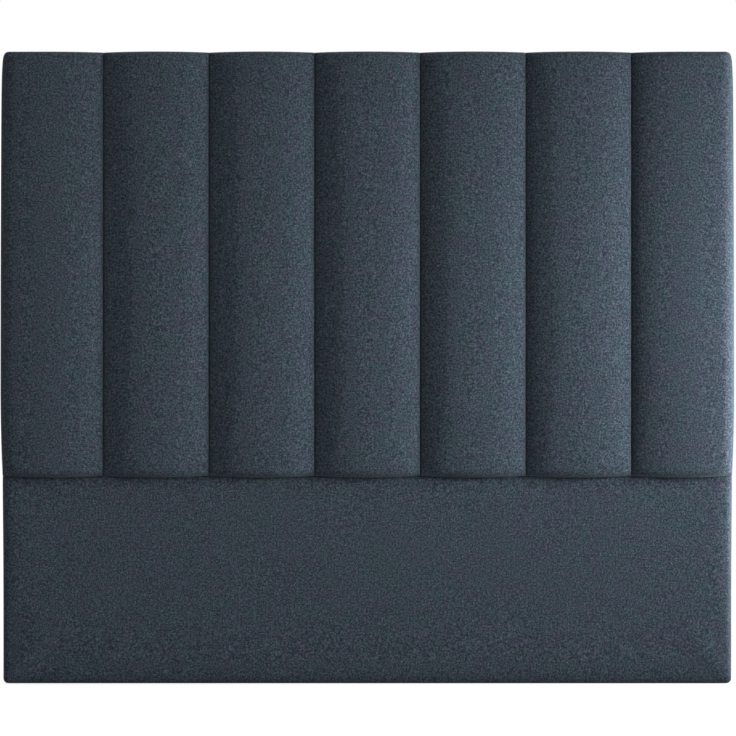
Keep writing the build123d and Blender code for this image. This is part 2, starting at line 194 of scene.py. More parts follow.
# The seven channels: blocks of foam glued upright to the board, each under its own width of cloth, sewn
# edge to edge and taken over the top. A seam's spare cloth is pressed to one side, so a channel stands
# full at its right seam and is drawn down deeper at its left one.
FOLD_RADIUS = 0.002
FOLD_START = 0.3
FOLD_BEVEL = 0.4
RETURN_WIDTH = 0.045
SEAM_ROLL = 0.040
SLIT_EDGE = 0.0040
SLIT_ANGLE = radians(84)
SLIT_HALF_WIDTH = 0.0004
SLIT_DEPTH = 0.006
CROWN_FRONT = -0.0433
MIDDLE_ANGLE = radians(4.8)
MIDDLE_REACH = 0.046
FULL_SIDE = (radians(16.5), radians(24))
DRAWN_SIDE = (radians(15), radians(40))
HELD_BY_SEAM = 6
HELD_ROWS = 3
OUTER_CROWN_RADIUS = 0.62
TOP_ROLL = 0.014
TOP_ROLL_AT_SEAM = 0.3
END_ROLL = 0.016
SIDE_ROLL = 0.026
CORNER_ROUND = 0.012
SMALLEST_CORNER = 0.001
SMALLEST_ROLL = 0.0003
END_ROLL_SHARE = 0.9
LIP_PROUD = 0.0002
LIP_DROP = 0.00002
TOP_SCALLOP = 0.0017
SCALLOP_REACH = 0.06
END_DROOP = 0.0032
DROOP_REACH = 0.09
SIDE_BULGE = 0.0044
SIDE_BULGE_AT_TOP = 0.002
BULGE_HEIGHT = 0.174
CORNER_PULL = 0.004
CORNER_PULL_REACH = 0.030
CLOTH_CELL = 0.0096
CROWN_STEPS = 7
SHOULDER_STEPS = 9
EDGE_STEPS = 4
TURN_STEPS = 7
ROLL_STEPS = 5
CHANNEL_RINGS = 10
RETURN_RINGS = 6
BACK_ROW_STEP = 0.0004
BACK_START = 0.003
WRAP_REACH = 0.97
SHARP_ANGLE = radians(40)
FOAM_UNEVEN = 0.0005
UNEVEN_WIDTH = 0.11
UNEVEN_HEIGHT = 0.16
SEAM_GAP = 0.0001
FOAM_PUSH = 4.0
CLOTH_STIFFNESS = 30
CLOTH_BENDING = 2.0
SETTLING_FRAMES = 20
CHANNEL_GIVE = 0.0010
HELD_RING = 3
JOIN_RISE = 0.0022

split_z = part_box("lower_cover")[1].z + JOIN_RISE
plain_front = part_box("lower_cover")[0].y
cover_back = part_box("channel_cover_4")[1].y
top_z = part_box("channel_cover_4")[1].z
board_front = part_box("upper_board")[0].y
frame_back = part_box("left_stile")[1].y
frame_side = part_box("right_stile")[1].x
frame_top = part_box("top_rail")[1].z
frame_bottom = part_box("bottom_rail")[0].z
half_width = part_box("lower_cover")[1].x
half_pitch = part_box("channel_cover_4")[1].x
last_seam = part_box("channel_cover_7")[0].x
slit_x = half_pitch - SLIT_HALF_WIDTH - SLIT_EDGE * sin(SLIT_ANGLE)
middle_radius = MIDDLE_REACH / sin(MIDDLE_ANGLE)


def steps(first, last, count):
    """Evenly spaced values from first to last."""
    return [first + (last - first) * k / count for k in range(count + 1)]


def ease(share):
    """0 to 1, starting and ending gently."""
    share = min(1.0, max(0.0, share))
    return share * share * (3 - 2 * share)


def roll(distance, radius):
    """How far a rolled edge has gone back at a distance from its end."""
    if distance >= radius:
        return 0.0
    return radius - (radius**2 - (radius - distance) ** 2) ** 0.5


def crowned_section(shoulder_angle, seam_angle):
    """Half a channel from its middle to its seam, seen from above: pairs of distance and depth."""
    roll_x = slit_x + (SLIT_EDGE - SEAM_ROLL) * sin(seam_angle)
    shoulder_x = roll_x + SEAM_ROLL * sin(shoulder_angle)
    shoulder_radius = (shoulder_x - MIDDLE_REACH) / (sin(shoulder_angle) - sin(MIDDLE_ANGLE))
    middle_y = CROWN_FRONT + middle_radius * (1 - cos(MIDDLE_ANGLE))
    shoulder_y = middle_y + shoulder_radius * (cos(MIDDLE_ANGLE) - cos(shoulder_angle))
    roll_y = shoulder_y + SEAM_ROLL * cos(shoulder_angle)
    slit_y = roll_y + (SLIT_EDGE - SEAM_ROLL) * cos(seam_angle)
    crown = [
        (middle_radius * sin(a), CROWN_FRONT + middle_radius * (1 - cos(a)))
        for a in steps(0, MIDDLE_ANGLE, CROWN_STEPS)
    ]
    shoulder = [
        (
            shoulder_x - shoulder_radius * (sin(shoulder_angle) - sin(a)),
            shoulder_y - shoulder_radius * (cos(a) - cos(shoulder_angle)),
        )
        for a in steps(MIDDLE_ANGLE, shoulder_angle, SHOULDER_STEPS)[1:]
    ]
    edge = [
        (roll_x + SEAM_ROLL * sin(a), roll_y - SEAM_ROLL * cos(a))
        for a in steps(shoulder_angle, seam_angle, EDGE_STEPS)[1:]
    ]
    slit = [
        (slit_x + SLIT_EDGE * sin(a), slit_y - SLIT_EDGE * cos(a))
        for a in steps(seam_angle, SLIT_ANGLE, EDGE_STEPS)[1:]
    ]
    wall = [
        (half_pitch - SLIT_HALF_WIDTH / 2, plain_front),
        (half_pitch - SEAM_GAP, plain_front + SLIT_DEPTH),
    ]
    return crown + shoulder + edge + slit + wall


def round_corner(x, z, high_x, high_z, radius):
    """Pulls a point near a square corner in, so that the corner is round."""
    p = (x - high_x + radius) / radius
    q = (z - high_z + radius) / radius
    if p <= 0 or q <= 0:
        return x, z
    round_p = p * (1 - q * q / 2) ** 0.5
    round_q = q * (1 - p * p / 2) ** 0.5
    return high_x - radius + radius * round_p, high_z - radius + radius * round_q


def side_bulge(z):
    """How far the outer channel's side stands out at a height."""
    widest = split_z + BULGE_HEIGHT
    if z < widest:
        return SIDE_BULGE * (1 - ((widest - z) / BULGE_HEIGHT) ** 2)
    full = SIDE_BULGE - (SIDE_BULGE - SIDE_BULGE_AT_TOP) * ((z - widest) / (top_z - widest)) ** 2
    return full - CORNER_PULL * exp((z - top_z) / CORNER_PULL_REACH)


def closed_form(name, faces, outside, inside, material):
    """A closed mesh of two like sheets and the strip that joins their edges."""
    count = len(outside)
    edge_use = {}
    for face in faces:
        for a, b in zip(face, face[1:] + face[:1]):
            edge_use[(a, b)] = edge_use.get((a, b), 0) + 1
    rim = [(a, b) for a, b in edge_use if (b, a) not in edge_use]
    backs = [tuple(count + k for k in reversed(face)) for face in faces]
    strip = [(b, a, count + a, count + b) for a, b in rim]
    mesh = bpy.data.meshes.new(name)
    mesh.from_pydata(outside + inside, [], list(faces) + backs + strip)
    mesh.validate()
    piece = bpy.data.objects.new(name, mesh)
    bpy.context.scene.collection.objects.link(piece)
    mesh.materials.append(material)
    mesh.polygons.foreach_set("use_smooth", [True] * len(mesh.polygons))
    mesh.set_sharp_from_angle(angle=SHARP_ANGLE)
    return piece


def sheet_faces(columns, rows, edge, rings):
    """Quads of a grid with rings of more points behind one stretch of its edge, which is listed in order."""
    faces = [
        (j * columns + i, j * columns + i + 1, (j + 1) * columns + i + 1, (j + 1) * columns + i)
        for j in range(rows - 1)
        for i in range(columns - 1)
    ]
    before = edge
    start = columns * rows
    for ring in range(rings):
        after = [start + ring * len(edge) + k for k in range(len(edge))]
        for k in range(len(edge) - 1):
            faces.append((before[k], before[k + 1], after[k + 1], after[k]))
        before = after
    return faces


def uneven(x, z, seed):
    """A slow unevenness of the foam under the cloth."""
    return FOAM_UNEVEN * noise.noise(Vector((x / UNEVEN_WIDTH, z / UNEVEN_HEIGHT, seed)))


def settle(piece, held, give):
    """Lets a cover take the shape that the foam's push and its own pull give it, where it isn't held."""
    scene = bpy.context.scene
    group = piece.vertex_groups.new(name="held")
    group.add(held, 1.0, "REPLACE")
    cover = piece.modifiers.new("cover", "CLOTH")
    cover.settings.quality = 4
    cover.settings.tension_stiffness = CLOTH_STIFFNESS
    cover.settings.compression_stiffness = CLOTH_STIFFNESS
    cover.settings.bending_stiffness = CLOTH_BENDING
    cover.settings.vertex_group_mass = group.name
    cover.settings.use_pressure = True
    cover.settings.uniform_pressure_force = FOAM_PUSH
    cover.settings.effector_weights.gravity = 0
    cover.collision_settings.use_collision = False
    cover.point_cache.frame_start = 1
    cover.point_cache.frame_end = SETTLING_FRAMES
    for frame_number in range(1, SETTLING_FRAMES + 1):
        scene.frame_set(frame_number)
    settled = piece.evaluated_get(bpy.context.evaluated_depsgraph_get()).data
    places = [vertex.co.copy() for vertex in settled.vertices]
    piece.modifiers.remove(cover)
    piece.vertex_groups.remove(group)
    scene.frame_set(1)
    for vertex, place in zip(piece.data.vertices, places):
        move = place - vertex.co
        vertex.co += move * give / (give + move.length)
    piece.data.update()


def subdivide(piece):
    """One smooth subdivision."""
    finer = piece.modifiers.new("finer", "SUBSURF")
    finer.levels = 1
    finer.render_levels = 1


def fold_rings():
    """How far in from the board's edge each ring of a cover's fold behind lies, and its depth."""
    insets = [FOLD_RADIUS * FOLD_START, FOLD_RADIUS] + steps(FOLD_RADIUS, RETURN_WIDTH, RETURN_RINGS)[1:]
    return [(inset, cover_back - max(0.0, FOLD_RADIUS - inset) * FOLD_BEVEL) for inset in insets]


def channel(number, low_x, high_x, wraps_side, inner_side):
    """One channel from its left seam to its right one, or to the board's side, which it then wraps."""
    middle = low_x + half_pitch
    across = [(middle - x, y) for x, y in reversed(crowned_section(*inner_side))]
    if wraps_side:
        reach = (high_x - middle - SIDE_ROLL) / (1 - SIDE_ROLL / OUTER_CROWN_RADIUS)
        lean = asin(reach / OUTER_CROWN_RADIUS)
        turn_x = high_x - SIDE_ROLL
        turn_y = CROWN_FRONT + OUTER_CROWN_RADIUS * (1 - cos(lean)) + SIDE_ROLL * cos(lean)
        across += [
            (middle + OUTER_CROWN_RADIUS * sin(a), CROWN_FRONT + OUTER_CROWN_RADIUS * (1 - cos(a)))
            for a in steps(0, lean, round(reach / CLOTH_CELL))[1:]
        ]
        across += [
            (turn_x + SIDE_ROLL * sin(a), turn_y - SIDE_ROLL * cos(a))
            for a in steps(lean, pi / 2, TURN_STEPS)[1:]
        ]
    else:
        across += [(middle + x, y) for x, y in crowned_section(*FULL_SIDE)[1:]]
    full_height = top_z - split_z
    roll_angles = steps(0, pi / 2, ROLL_STEPS)
    front_rows = round((full_height - TOP_ROLL - END_ROLL) / CLOTH_CELL)
    columns = len(across)

    def full(y):
        return max(0.0, plain_front - y) / (plain_front - CROWN_FRONT)

    def droop(x):
        return END_DROOP * (1 - ((x - (low_x + high_x) / 2) / ((high_x - low_x) / 2)) ** 2)

    def scallop(x):
        if wraps_side and x > middle:
            return 0.0
        return TOP_SCALLOP * (abs(x - middle) / half_pitch) ** 2

    def shaped(x, z, inset=0.0):
        """A point of the square outline where the round, bulging, scalloped one has it."""
        if wraps_side:
            share = (x - low_x) / (high_x - low_x)
            x = x - inset * share
        z_share = (z - split_z) / full_height
        z = z - inset * z_share
        if wraps_side:
            radius = max(CORNER_ROUND - inset, SMALLEST_CORNER)
            x, z = round_corner(x, z, high_x - inset, top_z - inset, radius)
            x += side_bulge(z) * share * (1 - inset / RETURN_WIDTH)
        z -= scallop(x) * ease((z - top_z + SCALLOP_REACH) / SCALLOP_REACH)
        if not wraps_side:
            x = min(high_x - SEAM_GAP, max(low_x + SEAM_GAP, x))
        return x, z

    def back_at(x, z):
        """The place on the board behind a point of the square outline."""
        if wraps_side:
            x = low_x + (x - low_x) * (frame_side - low_x) / (high_x - low_x)
        z = split_z + (z - split_z) * (frame_top - split_z) / full_height
        return x, board_front, z

    outside = []
    inside = []
    lip_y = plain_front - LIP_PROUD
    for x, y in across:
        flat_x, _ = shaped(x, split_z)
        outside.append((flat_x, max(y, lip_y), split_z))
        inside.append((x if wraps_side else flat_x, board_front, split_z))
    rows = 1
    end_roll = [min(END_ROLL, max(SMALLEST_ROLL, END_ROLL_SHARE * (plain_front - y))) for x, y in across]
    for share in (0.0, 0.5):
        for (x, y), radius in zip(across, end_roll):
            px, _ = shaped(x, split_z)
            lip = max(y, lip_y)
            outside.append((px, lip + share * (y + radius - lip), split_z - droop(x) - LIP_DROP))
            inside.append(back_at(x, split_z + BACK_ROW_STEP * (rows + share)))
        rows += 1
    for angle in reversed(roll_angles):
        for (x, y), radius in zip(across, end_roll):
            z = split_z + radius * (1 - sin(angle))
            px, pz = shaped(x, z)
            pz -= droop(x) * (1 - ease((z - split_z) / DROOP_REACH))
            outside.append((px, y + radius * (1 - cos(angle)), pz))
            inside.append(back_at(x, split_z + BACK_START + END_ROLL * (1 - sin(angle))))
        rows += 1
    top_roll = [TOP_ROLL * (TOP_ROLL_AT_SEAM + (1 - TOP_ROLL_AT_SEAM) * full(y)) for x, y in across]
    for share in steps(0, 1, front_rows)[1:]:
        for (x, y), low_radius, high_radius in zip(across, end_roll, top_roll):
            low = split_z + low_radius
            high = top_z - high_radius
            z = low + (high - low) * share
            px, pz = shaped(x, z)
            pz -= droop(x) * (1 - ease((z - split_z) / DROOP_REACH))
            outside.append((px, y + uneven(x, z, number), pz))
            back_low = split_z + BACK_START + END_ROLL
            inside.append(back_at(x, back_low + (top_z - TOP_ROLL - back_low) * share))
        rows += 1
    for angle in roll_angles[1:]:
        for (x, y), radius in zip(across, top_roll):
            z = top_z - radius * (1 - sin(angle))
            px, pz = shaped(x, z)
            side = roll(high_x - x, SIDE_ROLL) if wraps_side else 0.0
            outside.append((px, y - side + hypot(side, radius * (1 - cos(angle))), pz))
            inside.append(back_at(x, top_z - TOP_ROLL * (1 - sin(angle))))
        rows += 1

    edge = [(rows - 1) * columns + i for i in range(columns)]
    if wraps_side:
        edge += [j * columns + columns - 1 for j in range(rows - 2, -1, -1)]
    square = [(x, top_z) for x, y in across]
    if wraps_side:
        heights = [inside[k][2] for k in edge[columns:]]
        square += [(high_x, split_z + (h - split_z) * full_height / (frame_top - split_z)) for h in heights]
    rings = 0
    for share in steps(0, 1, CHANNEL_RINGS)[1:]:
        for k, (x, z) in zip(edge, square):
            start = outside[k]
            end_y = cover_back - FOLD_RADIUS
            outside.append((start[0], start[1] + (end_y - start[1]) * share, start[2]))
            bx, _, bz = back_at(x, z)
            inside.append((bx, board_front + (frame_back - board_front) * share * WRAP_REACH, bz))
        rings += 1
    frame_inset = top_z - frame_top
    for inset, y in fold_rings():
        for k, (x, z) in zip(edge, square):
            px, pz = shaped(x, z, inset)
            outside.append((px, y, pz))
            inner = frame_inset + (RETURN_WIDTH - frame_inset) * inset / RETURN_WIDTH
            bx = x - inner * (x - low_x) / (high_x - low_x) if wraps_side else px
            inside.append((bx, frame_back, z - inner * (z - split_z) / full_height))
        rings += 1
    faces = sheet_faces(columns, rows, edge, rings)
    cushion = closed_form(f"channel_cushion_{number}", faces, outside, inside, CLOTH)
    held = list(range(len(outside), 2 * len(outside)))
    last_free = columns if wraps_side else columns - HELD_BY_SEAM
    held += range(HELD_ROWS * columns)
    held += [k for k in range(columns * rows) if not HELD_BY_SEAM <= k % columns < last_free]
    held += range(columns * rows + HELD_RING * len(edge), len(outside))
    for ring in range(HELD_RING):
        start = columns * rows + ring * len(edge)
        held += [start] if wraps_side else [start, start + len(edge) - 1]
    settle(cushion, sorted(set(held)), CHANNEL_GIVE)
    subdivide(cushion)
    return cushion


for number in range(2, 7):
    low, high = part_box(f"channel_cover_{number}")
    cushion = channel(number, low.x, high.x, False, DRAWN_SIDE)
    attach(cushion, "root")
    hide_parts(f"channel_cover_{number}", f"channel_foam_{number}", "top_wadding")

for number, side, inner_side in ((1, "left", FULL_SIDE), (7, "right", DRAWN_SIDE)):
    cushion = channel(number, last_seam, half_width, True, inner_side)
    if side == "left":
        for vertex in cushion.data.vertices:
            vertex.co.x = -vertex.co.x
        cushion.data.flip_normals()
    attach(cushion, "root")
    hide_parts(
        f"channel_cover_{number}",
        f"channel_foam_{number}",
        f"upper_side_wadding_{side}",
        "top_wadding",
    )

# The plain panel: one flat block of foam under one width of the same cloth, pulled round the sides and
# the bottom edge and stapled behind. Its top edge lies under the ends of the channels.
PLAIN_ROLL = 0.012
PLAIN_CORNER = 0.010
BOTTOM_ROLL = 0.035
BOTTOM_DEPTH = 0.012
PANEL_PROUD = 0.0004
PLAIN_CELL = 0.0120
PANEL_GIVE = 0.0030
TOP_CLEARANCE = 0.0002
TOP_ROW = 0.0012
BOTTOM_STEPS = 8
PANEL_RINGS = 7
PANEL_SEED = 11


def plain_panel():
    """The flat lower cushion, wrapped on three sides."""
    high_z = split_z - TOP_CLEARANCE
    panel_side = half_width + PANEL_PROUD
    flat_x = panel_side - PLAIN_ROLL
    turn = steps(0, pi / 2, ROLL_STEPS)
    across = [-flat_x - PLAIN_ROLL * sin(a) for a in reversed(turn)]
    across += steps(-flat_x, flat_x, round(2 * flat_x / PLAIN_CELL))[1:]
    across += [flat_x + PLAIN_ROLL * sin(a) for a in turn[1:]]
    upward = [BOTTOM_ROLL * (1 - sin(a)) for a in steps(pi / 2, 0, BOTTOM_STEPS)]
    upward += steps(BOTTOM_ROLL, high_z - TOP_ROW, round((high_z - BOTTOM_ROLL) / PLAIN_CELL))[1:] + [high_z]
    columns, rows = len(across), len(upward)

    def shaped(x, z, inset=0.0):
        """A point of the square outline, drawn in for the fold behind, with its lower corners round."""
        x *= (panel_side - inset) / panel_side
        z = high_z - (high_z - z) * (high_z - inset) / high_z
        radius = max(PLAIN_CORNER - inset, SMALLEST_CORNER)
        px, mirrored_z = round_corner(abs(x), -z, panel_side - inset, -inset, radius)
        return (px if x > 0 else -px), -mirrored_z

    def back_at(x, z):
        """The place on the board behind a point of the square outline."""
        z = frame_bottom + z * (high_z - frame_bottom) / high_z
        return x * frame_side / panel_side, board_front, z

    outside = []
    inside = []
    for z in upward:
        for x in across:
            px, pz = shaped(x, z)
            side = roll(panel_side - abs(x), PLAIN_ROLL)
            under = roll(z, BOTTOM_ROLL) * BOTTOM_DEPTH / BOTTOM_ROLL
            y = plain_front + hypot(side, under)
            outside.append((px, y + uneven(x, z, PANEL_SEED), pz))
            inside.append(back_at(x, z))
    edge = [j * columns + columns - 1 for j in range(rows - 1, -1, -1)]
    edge += range(columns - 2, -1, -1)
    edge += [j * columns for j in range(1, rows)]
    square = [(across[k % columns], upward[k // columns]) for k in edge]
    rings = 0
    for share in steps(0, 1, PANEL_RINGS)[1:]:
        for k, (x, z) in zip(edge, square):
            start = outside[k]
            y = start[1] + (cover_back - FOLD_RADIUS - start[1]) * share
            outside.append((start[0], y, start[2]))
            bx, _, bz = back_at(x, z)
            inside.append((bx, board_front + (frame_back - board_front) * share * WRAP_REACH, bz))
        rings += 1
    frame_inset = panel_side - frame_side
    for inset, y in fold_rings():
        share = inset / RETURN_WIDTH
        for k, (x, z) in zip(edge, square):
            px, pz = shaped(x, z, inset)
            outside.append((px, y, pz))
            bx = x * (panel_side - frame_inset - (RETURN_WIDTH - frame_inset) * share) / panel_side
            low = frame_bottom + (RETURN_WIDTH - frame_bottom) * share
            inside.append((bx, frame_back, low + z * (high_z - low) / high_z))
        rings += 1
    faces = sheet_faces(columns, rows, edge, rings)
    cushion = closed_form("plain_panel", faces, outside, inside, CLOTH)
    held = list(range(len(outside), 2 * len(outside)))
    held += range((rows - 1) * columns, columns * rows)
    held += range(columns * rows + HELD_RING * len(edge), len(outside))
    settle(cushion, held, PANEL_GIVE)
    subdivide(cushion)
    return cushion


panel = plain_panel()
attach(panel, "root")
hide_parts("lower_cover", "lower_foam", "lower_side_wadding_left", "lower_side_wadding_right")

# The frame: planed softwood lengths, rails dowelled to stiles and studs tenoned into rails, with glued
# corner blocks. It shows only through the holes of the back cloth.
PINE_EARLY = (0.66, 0.47, 0.27, 1)
PINE_LATE = (0.44, 0.26, 0.12, 1)
BEECH_LIGHT = (0.60, 0.42, 0.27, 1)
BEECH_DARK = (0.50, 0.33, 0.20, 1)
RING_WIDTH = 0.006
FIBRE_WIDTH = 0.0008
BEECH_RING_WIDTH = RING_WIDTH / 3
WAVE_RINGS = 0.16
FIBRE_SPREAD = (0.3, 0.7)
FIBRE_LIGHT = (0.85, 1.1)
PLANED_RELIEF = 0.0004
GRAIN_STRETCH = 0.06


def timber(name, along, early, late, ring_width):
    """Sawn and planed wood whose grain runs along X or Z."""
    material, tree, surface = blank_material(name)
    place = wire(tree, "ShaderNodeTexCoord").outputs["Object"]
    squeeze = (GRAIN_STRETCH, 1, 1) if along == "X" else (1, 1, GRAIN_STRETCH)
    drawn = wire(tree, "ShaderNodeMapping", {"Vector": place, "Scale": squeeze}).outputs[0]
    rings = wire(
        tree,
        "ShaderNodeTexWave",
        {
            "Vector": drawn,
            "Scale": WAVE_RINGS / ring_width,
            "Distortion": 5.0,
            "Detail": 2.0,
            "Detail Scale": 0.6,
        },
        bands_direction="Y",
    ).outputs["Fac"]
    fibres = wire(tree, "ShaderNodeTexNoise", {"Vector": drawn, "Scale": 1 / FIBRE_WIDTH, "Detail": 3.0})
    colour = blend_colour(tree, rings, early, late)
    faded = rescale(tree, fibres.outputs["Fac"], FIBRE_SPREAD, FIBRE_LIGHT)
    grey = wire(tree, "ShaderNodeCombineColor", {0: faded, 1: faded, 2: faded}).outputs[0]
    tree.links.new(blend_colour(tree, 1.0, colour, grey, "MULTIPLY"), surface.inputs["Base Color"])
    relief = {"Height": fibres.outputs["Fac"], "Strength": 0.2, "Distance": PLANED_RELIEF}
    bump = wire(tree, "ShaderNodeBump", relief)
    tree.links.new(bump.outputs[0], surface.inputs["Normal"])
    surface.inputs["Roughness"].default_value = 0.7
    return material


def finish_nodes(names, material):
    """Gives CAD pieces that stay in view their material."""
    for name in names:
        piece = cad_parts[name]
        piece.data.materials.clear()
        piece.data.materials.append(material)


finish_nodes(
    [
        "left_stile",
        "right_stile",
        "upper_stud_left",
        "upper_stud_right",
        "lower_stud_left",
        "lower_stud_right",
    ],
    timber("pine_upright", "Z", PINE_EARLY, PINE_LATE, RING_WIDTH),
)
finish_nodes(
    ["bottom_rail", "middle_rail", "top_rail", "corner_blocks"],
    timber("pine_level", "X", PINE_EARLY, PINE_LATE, RING_WIDTH),
)
finish_nodes(["frame_dowels"], timber("beech", "X", BEECH_LIGHT, BEECH_DARK, BEECH_RING_WIDTH))

# The facing boards: brown hardboard pinned to the front of the frame, smooth in front, with the mark of
# the press's mesh behind.
HARDBOARD = (0.155, 0.085, 0.042, 1)
HARDBOARD_FLECK = (0.27, 0.165, 0.09, 1)
FLECKS_PER_METRE = 900.0
FLECK_SPREAD = (0.45, 0.75)
PRESS_MESH = 0.0015
PRESS_RELIEF = 0.0003


def hardboard():
    """Pressed brown fibres with paler flecks."""
    material, tree, surface = blank_material("hardboard")
    place = wire(tree, "ShaderNodeTexCoord").outputs["Object"]
    flecks = wire(
        tree,
        "ShaderNodeTexNoise",
        {"Vector": place, "Scale": FLECKS_PER_METRE, "Detail": 4.0, "Roughness": 0.7},
    ).outputs["Fac"]
    share = rescale(tree, flecks, FLECK_SPREAD)
    tree.links.new(blend_colour(tree, share, HARDBOARD, HARDBOARD_FLECK), surface.inputs["Base Color"])
    pressed = {"Vector": place, "Scale": 1 / PRESS_MESH, "Randomness": 0.0}
    mesh_mark = wire(tree, "ShaderNodeTexVoronoi", pressed).outputs["Distance"]
    bump = wire(tree, "ShaderNodeBump", {"Height": mesh_mark, "Strength": 0.3, "Distance": PRESS_RELIEF})
    tree.links.new(bump.outputs[0], surface.inputs["Normal"])
    surface.inputs["Roughness"].default_value = 0.55
    return material


finish_nodes(["lower_board", "upper_board"], hardboard())

# The fixing inserts: zinc-plated steel sleeves with a flange, screwed into the lower studs from behind and
# threaded inside for the bolts of the support struts.
ZINC = (0.58, 0.58, 0.56, 1)
ZINC_CLOUD = (0.46, 0.47, 0.47, 1)
ZINC_ROUGHNESS = (0.28, 0.46)
CLOUDS_PER_METRE = 260.0


def zinc_plate():
    """Bright zinc with a faint cloudiness."""
    material, tree, surface = blank_material("zinc_plate")
    place = wire(tree, "ShaderNodeTexCoord").outputs["Object"]
    clouds = wire(tree, "ShaderNodeTexNoise", {"Vector": place, "Scale": CLOUDS_PER_METRE, "Detail": 3.0})
    cloud = clouds.outputs["Fac"]
    tree.links.new(blend_colour(tree, cloud, ZINC, ZINC_CLOUD), surface.inputs["Base Color"])
    tree.links.new(rescale(tree, cloud, given=ZINC_ROUGHNESS), surface.inputs["Roughness"])
    surface.inputs["Metallic"].default_value = 1.0
    return material


ZINC_PLATE = zinc_plate()
finish_nodes(["fixing_inserts"], ZINC_PLATE)

# The back cloth: thin black spunbond, its edge turned under, stapled over the covers' folded edges, with a
# round hole at each insert.
HEM_WIDTH = 0.012
HEM_FOLD = HEM_WIDTH * 0.9
HEM_LIMIT = HEM_WIDTH * 0.95
HEM_RISE = 0.0006
SLACK = 0.0004
SLACK_SIZE = 0.08
SLACK_REACH = 0.05
SLACK_SEED = 5
CLEAR_BELOW = 0.0001
BACK_CELL = 0.012
HOLE_RADIUS = 0.012
HOLE_SIDES = 48
PUNCH_DEPTHS = 8
INSERT_X = 0.525
INSERT_HEIGHTS = (0.150, 0.300)
SPUNBOND = (0.012, 0.012, 0.013, 1)
SPUNBOND_DOT = (0.024, 0.024, 0.026, 1)
DOT_PITCH = 0.0022
WELD_SPREAD = (0.18, 0.34)
WELD_RELIEF = 0.0003
FIBRES_PER_METRE = 1400.0
FIBRE_RELIEF = 0.6


def spunbond():
    """Black felt-like cloth with the dots where its fibres are welded."""
    material, tree, surface = blank_material("back_cloth")
    place = wire(tree, "ShaderNodeTexCoord").outputs["Object"]
    turned = wire(tree, "ShaderNodeMapping", {"Vector": place, "Rotation": (0, pi / 4, 0)}).outputs[0]
    dots = wire(
        tree, "ShaderNodeTexVoronoi", {"Vector": turned, "Scale": 1 / DOT_PITCH, "Randomness": 0.0}
    ).outputs["Distance"]
    weld = rescale(tree, dots, WELD_SPREAD)
    fibres = wire(
        tree,
        "ShaderNodeTexNoise",
        {"Vector": place, "Scale": FIBRES_PER_METRE, "Detail": 3.0, "Distortion": 1.5},
    ).outputs["Fac"]
    share = calculate(tree, "MULTIPLY", calculate(tree, "SUBTRACT", 1.0, weld), fibres)
    tree.links.new(blend_colour(tree, share, SPUNBOND, SPUNBOND_DOT), surface.inputs["Base Color"])
    height = calculate(tree, "MULTIPLY_ADD", fibres, FIBRE_RELIEF, weld)
    bump = wire(tree, "ShaderNodeBump", {"Height": height, "Strength": 0.5, "Distance": WELD_RELIEF})
    tree.links.new(bump.outputs[0], surface.inputs["Normal"])
    surface.inputs["Roughness"].default_value = 0.8
    surface.inputs["Sheen Weight"].default_value = 0.15
    return material


back_low, back_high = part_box("back_cloth")


def back_cloth():
    """A stretched sheet with a turned-under edge and four holes."""
    width = back_high.x - back_low.x
    height = back_high.z - back_low.z
    inner_x = steps(back_low.x + HEM_WIDTH, back_high.x - HEM_WIDTH, round(width / BACK_CELL))
    inner_z = steps(back_low.z + HEM_WIDTH, back_high.z - HEM_WIDTH, round(height / BACK_CELL))
    across = [back_low.x, back_low.x + HEM_FOLD] + inner_x + [back_high.x - HEM_FOLD, back_high.x]
    upward = [back_low.z, back_low.z + HEM_FOLD] + inner_z + [back_high.z - HEM_FOLD, back_high.z]
    outside = []
    inside = []
    for z in upward:
        for x in across:
            rim = min(x - back_low.x, back_high.x - x, z - back_low.z, back_high.z - z)
            rise = HEM_RISE if rim < HEM_LIMIT else 0.0
            wave = noise.noise(Vector((x / SLACK_SIZE, z / SLACK_SIZE, SLACK_SEED)))
            slack = SLACK * wave * ease(rim / SLACK_REACH)
            inside.append((x, back_low.y + CLEAR_BELOW, z))
            outside.append((x, back_high.y + rise + slack, z))
    columns, rows = len(across), len(upward)
    faces = [tuple(reversed(face)) for face in sheet_faces(columns, rows, [], 0)]
    cloth = closed_form("back_cloth_sheet", faces, outside, inside, spunbond())
    depth = back_high.y - back_low.y
    for x in (-INSERT_X, INSERT_X):
        for z in INSERT_HEIGHTS:
            bpy.ops.mesh.primitive_cylinder_add(
                vertices=HOLE_SIDES,
                radius=HOLE_RADIUS,
                depth=depth * PUNCH_DEPTHS,
                location=(x, (back_low.y + back_high.y) / 2, z),
                rotation=(pi / 2, 0, 0),
            )
            punch = bpy.context.object
            cut = cloth.modifiers.new("hole", "BOOLEAN")
            cut.object = punch
            cut.solver = "EXACT"
            bpy.context.view_layer.objects.active = cloth
            bpy.ops.object.modifier_apply(modifier=cut.name)
            bpy.data.objects.remove(punch)
    return cloth


cloth_sheet = back_cloth()
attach(cloth_sheet, "root")
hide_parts("back_cloth")

# The staples: flat wire crowns driven through the back cloth's turned edge into the frame, one to every
# few fingers, none of them quite in line.
STAPLE_CROWN = 0.0100
STAPLE_WIRE = (0.0011, 0.0006)
STAPLE_SPACING = 0.038
STAPLE_INSET = 0.0065
STAPLE_LEG = 0.002
STAPLE_BEND = 0.0008
BEND_START = 0.3
STAPLE_NOISE = (0.73, 5.1)
STAPLE_SEEDS = (2.2, 7.9, 13.4)
STAPLE_SHIFT = 0.25
STAPLE_TURN = 0.22
STAPLE_STRAY = 0.0012


